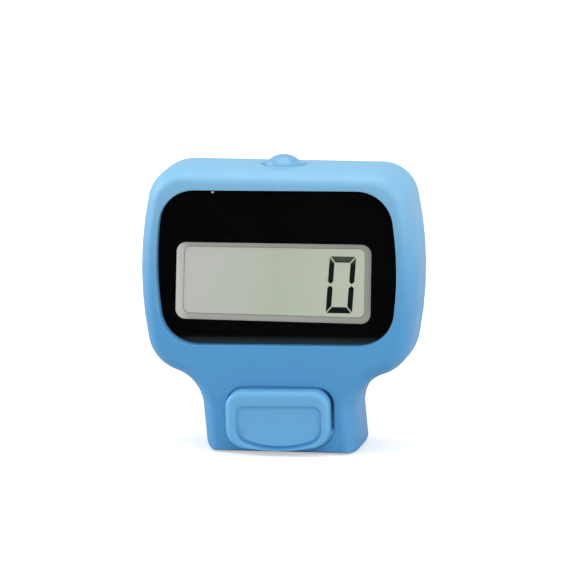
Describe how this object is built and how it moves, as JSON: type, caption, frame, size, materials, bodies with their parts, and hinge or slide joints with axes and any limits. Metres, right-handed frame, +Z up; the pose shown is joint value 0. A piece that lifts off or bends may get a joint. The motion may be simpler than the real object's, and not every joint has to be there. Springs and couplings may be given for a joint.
{
  "type": "digital tally counter",
  "caption": "Small finger-worn tally counter: wide head with a digital display, domed reset button, thumb button on the neck and an elastic band behind.",
  "frame": {"origin": "centre of the flat foot under the neck, halfway between the front and back faces of the housing", "axes": "+X to the right as the display is read, +Y from the display to the back, +Z up from the foot to the reset button"},
  "size_m": [0.0348, 0.0395, 0.0369],
  "materials": {
    "case_plastic": "soft satin moulded plastic, light blue",
    "button_plastic": "soft satin moulded plastic, light blue",
    "window_acrylic": "clear, polished",
    "window_print": "black print on the back of the lens",
    "polariser_film": "grey film",
    "display_glass": "clear, polished",
    "display_reflector": "grey-green reflective film",
    "holder_plastic": "moulded, white",
    "connector_rubber": "layered conductive rubber",
    "board_laminate": "green solder resist over glass laminate",
    "chip_resin": "black moulded resin",
    "ceramic_chip": "fired ceramic",
    "screw_steel": "plated",
    "cell_steel": "drawn steel can",
    "contact_metal": "spring brass strip",
    "ring_plastic": "moulded, black",
    "switch_plastic": "moulded, black",
    "plunger_plastic": "moulded, white",
    "band_elastomer": "soft matt silicone, blue"
  },
  "bodies": {
    "housing": {"front_case": "case_plastic", "back_cover": "case_plastic", "display_window": "window_acrylic", "window_mask": "window_print", "lcd_polariser": "polariser_film", "lcd_front_glass": "display_glass", "lcd_rear_glass": "display_glass", "lcd_reflector": "display_reflector", "lcd_holder": "holder_plastic", "elastomer_connector": "connector_rubber", "circuit_board": "board_laminate", "chip_resin": "chip_resin", "resistor": "chip_resin", "capacitor": "ceramic_chip", "case_screw_1": "screw_steel", "case_screw_2": "screw_steel", "case_screw_3": "screw_steel", "case_screw_4": "screw_steel", "board_screw_1": "screw_steel", "board_screw_2": "screw_steel", "board_screw_3": "screw_steel", "button_cell": "cell_steel", "battery_contact_negative": "contact_metal", "battery_contact_positive": "contact_metal", "battery_holder": "ring_plastic", "count_switch_body": "switch_plastic", "reset_switch_body": "switch_plastic", "finger_band": "band_elastomer"},
    "count_button": {"count_button": "button_plastic"},
    "count_plunger": {"count_switch_plunger": "plunger_plastic"},
    "reset_button": {"reset_button": "button_plastic"},
    "reset_plunger": {"reset_switch_plunger": "plunger_plastic"}
  },
  "joints": [
    {"name": "count_press", "type": "slide", "parent": "housing", "child": "count_button", "axis": [0, 1, 0], "range_m": [0, 0.0005], "stiffness_N_per_m": 2400},
    {"name": "count_plunger_press", "type": "slide", "parent": "housing", "child": "count_plunger", "axis": [0, 1, 0], "range_m": [0, 0.0005]},
    {"name": "reset_press", "type": "slide", "parent": "housing", "child": "reset_button", "axis": [0, 0, -1], "range_m": [0, 0.0003], "stiffness_N_per_m": 3000},
    {"name": "reset_plunger_press", "type": "slide", "parent": "housing", "child": "reset_plunger", "axis": [0, 0, -1], "range_m": [0, 0.0003]}
  ],
  "couplings": [
    {"joint": "count_plunger_press", "follows": "count_press", "ratio": 1},
    {"joint": "reset_plunger_press", "follows": "reset_press", "ratio": 1}
  ]
}
